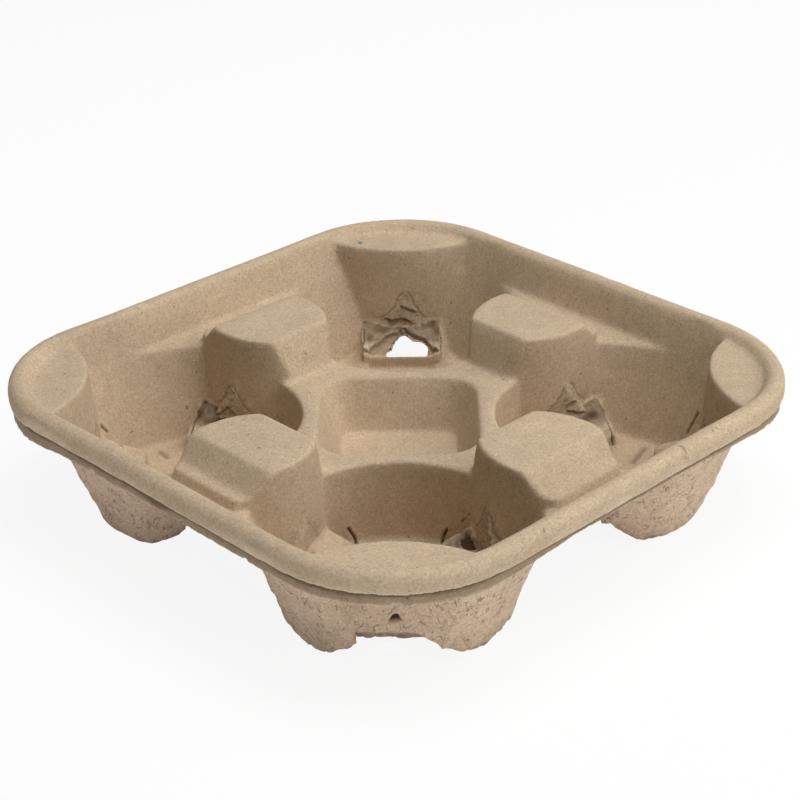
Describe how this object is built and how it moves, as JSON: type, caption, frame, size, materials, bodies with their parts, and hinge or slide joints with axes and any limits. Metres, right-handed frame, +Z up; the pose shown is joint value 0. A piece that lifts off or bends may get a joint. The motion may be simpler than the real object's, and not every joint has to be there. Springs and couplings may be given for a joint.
{
  "type": "cup carrier",
  "caption": "Square moulded pulp carrier with a round pocket for a cup at each corner, a small well in the middle, gripping blocks along the sides and a rolled rim.",
  "frame": {"origin": "on the ground, under the middle of the carrier", "axes": "+Z up, towards the rim; X and Y along the sides of the square rim; the torn arch is at the +X +Y corner"},
  "size_m": [0.213, 0.213, 0.05],
  "materials": {
    "pulp": "matte, fibrous, undyed grey-brown moulded pulp"
  },
  "bodies": {
    "root": {"carrier": "pulp"}
  },
  "joints": []
}
